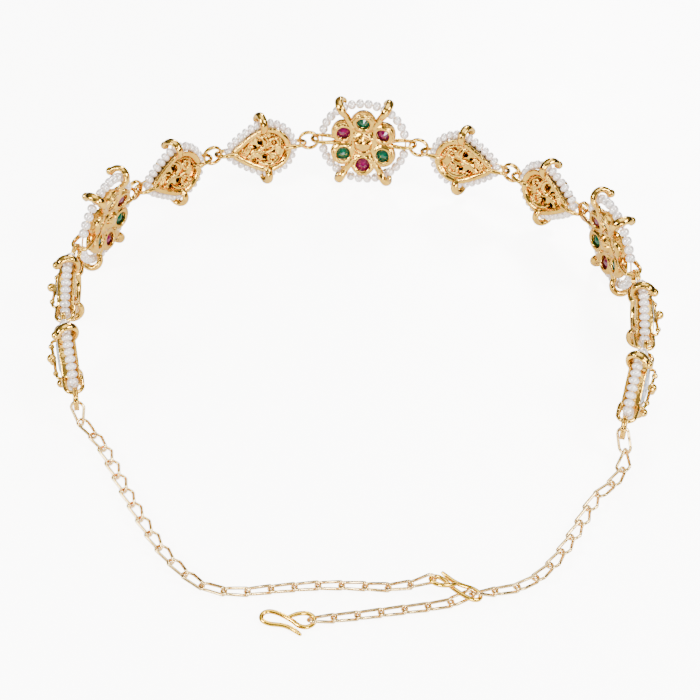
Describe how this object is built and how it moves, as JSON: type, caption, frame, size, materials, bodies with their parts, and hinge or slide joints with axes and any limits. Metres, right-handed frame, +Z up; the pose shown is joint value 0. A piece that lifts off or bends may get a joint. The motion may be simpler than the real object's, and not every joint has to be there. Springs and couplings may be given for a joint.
{
  "type": "hair band",
  "caption": "Head chain of pierced gold flowers and leaves with cut stones and pearl rims, closed at the back by a teardrop-link chain and wire hooks.",
  "frame": {"origin": "middle of the footprint, on the table that the part lies on", "axes": "+Z up from the table, +Y from the hooks at the back of the head to the centre flower, X across the loop"},
  "size_m": [0.1721, 0.1966, 0.0292],
  "materials": {
    "gold": "cast and polished",
    "pale_gold": "polished wire",
    "yellow_gold": "polished wire",
    "pearl": "soft pearl lustre",
    "ruby": "cut and polished",
    "emerald": "cut and polished",
    "crystal": "cut and polished"
  },
  "bodies": {
    "root": {"flower_frame_1": "gold", "flower_frame_2": "gold", "flower_frame_3": "gold", "flower_rubies_1": "ruby", "flower_rubies_2": "ruby", "flower_rubies_3": "ruby", "flower_emeralds_1": "emerald", "flower_emeralds_2": "emerald", "flower_emeralds_3": "emerald", "flower_pearls_1": "pearl", "flower_pearls_2": "pearl", "flower_pearls_3": "pearl", "leaf_frame_1": "gold", "leaf_frame_2": "gold", "leaf_frame_3": "gold", "leaf_frame_4": "gold", "leaf_frame_5": "gold", "leaf_frame_6": "gold", "leaf_frame_7": "gold", "leaf_frame_8": "gold", "leaf_stone_1": "crystal", "leaf_stone_2": "crystal", "leaf_stone_3": "crystal", "leaf_stone_4": "crystal", "leaf_stone_5": "crystal", "leaf_stone_6": "crystal", "leaf_stone_7": "crystal", "leaf_stone_8": "crystal", "leaf_pearls_1": "pearl", "leaf_pearls_2": "pearl", "leaf_pearls_3": "pearl", "leaf_pearls_4": "pearl", "leaf_pearls_5": "pearl", "leaf_pearls_6": "pearl", "leaf_pearls_7": "pearl", "leaf_pearls_8": "pearl", "jump_ring_1": "gold", "jump_ring_2": "gold", "jump_ring_3": "gold", "jump_ring_4": "gold", "jump_ring_5": "gold", "jump_ring_6": "gold", "jump_ring_7": "gold", "jump_ring_8": "gold", "jump_ring_9": "gold", "jump_ring_10": "gold", "jump_ring_11": "gold", "jump_ring_12": "gold", "chain_left": "pale_gold", "chain_right": "pale_gold", "clasp_hook": "yellow_gold", "tail_hook": "yellow_gold"}
  },
  "joints": []
}
